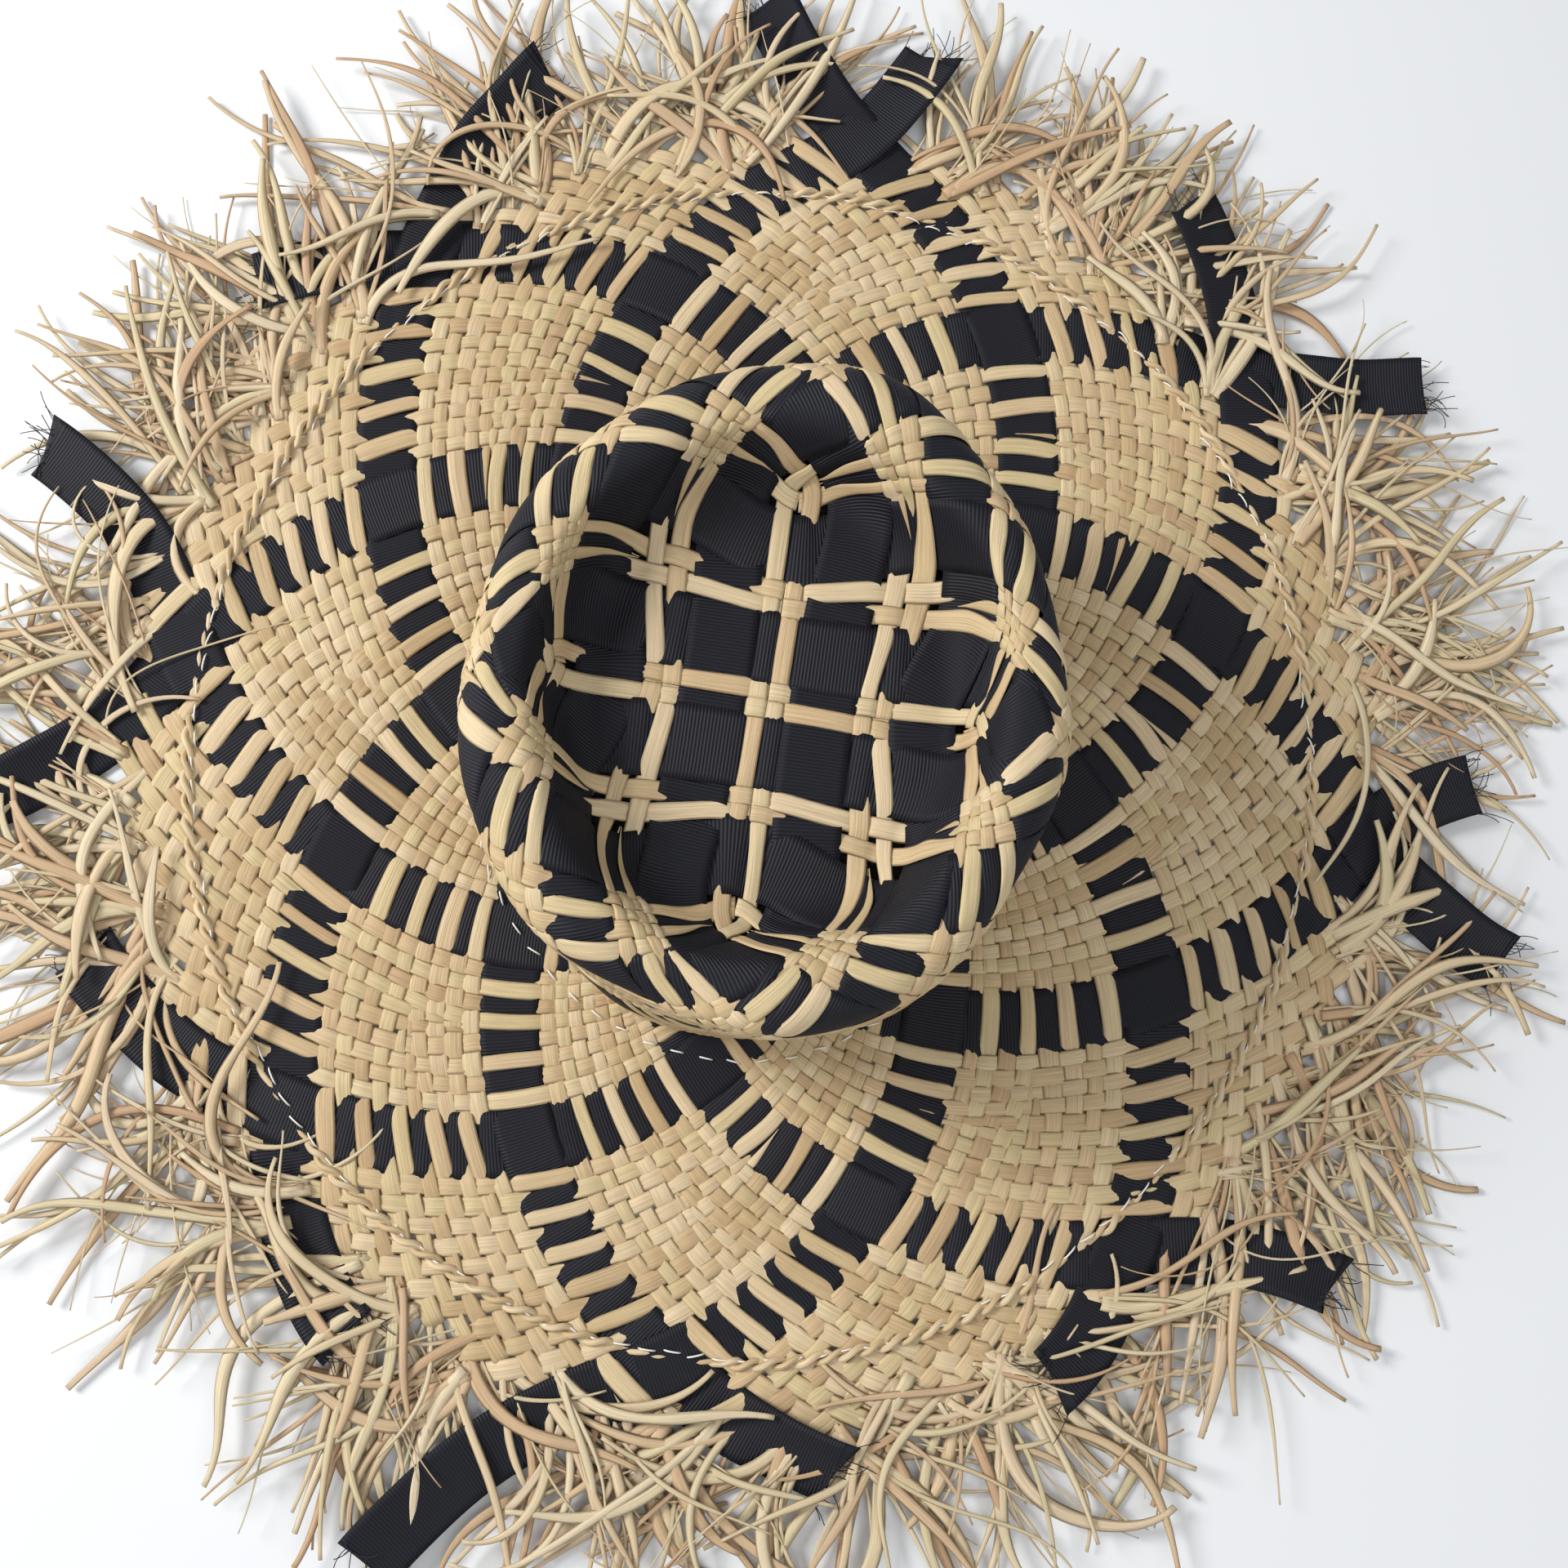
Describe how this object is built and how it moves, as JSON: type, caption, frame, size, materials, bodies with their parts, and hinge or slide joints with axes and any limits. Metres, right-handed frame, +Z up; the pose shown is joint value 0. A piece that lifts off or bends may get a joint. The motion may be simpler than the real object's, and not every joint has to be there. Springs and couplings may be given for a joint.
{
  "type": "sun hat",
  "caption": "Wide-brimmed sun hat woven from black grosgrain ribbon and natural raffia, with a dented oval crown and a long loose fringe round the brim.",
  "frame": {"origin": "middle of the head opening, in the plane of the brim's underside", "axes": "+Z up through the crown, +Y along the head's length, +X across the head"},
  "size_m": [0.5749, 0.6077, 0.1027],
  "materials": {
    "raffia": "woven natural raffia, slightly glossy",
    "fringe": "loose raffia strips, slightly glossy",
    "ribbon": "black grosgrain, fine cross ribs",
    "band_fabric": "matt cotton tape",
    "thread": "matt white sewing thread"
  },
  "bodies": {
    "root": {"crown_weave": "raffia", "brim_weave": "raffia", "inner_band": "band_fabric", "inner_band_stitching": "thread", "edge_twist": "raffia", "edge_stitching": "thread", "ribbon_lengthwise_1": "ribbon", "ribbon_lengthwise_2": "ribbon", "ribbon_lengthwise_3": "ribbon", "ribbon_lengthwise_4": "ribbon", "ribbon_crosswise_1": "ribbon", "ribbon_crosswise_2": "ribbon", "ribbon_crosswise_3": "ribbon", "ribbon_crosswise_4": "ribbon", "fringe_bundle_01": "fringe", "fringe_bundle_02": "fringe", "fringe_bundle_03": "fringe", "fringe_bundle_04": "fringe", "fringe_bundle_05": "fringe", "fringe_bundle_06": "fringe", "fringe_bundle_07": "fringe", "fringe_bundle_08": "fringe", "fringe_bundle_09": "fringe", "fringe_bundle_10": "fringe", "fringe_bundle_11": "fringe", "fringe_bundle_12": "fringe", "fringe_bundle_13": "fringe", "fringe_bundle_14": "fringe", "fringe_bundle_15": "fringe", "fringe_bundle_16": "fringe"}
  },
  "joints": []
}
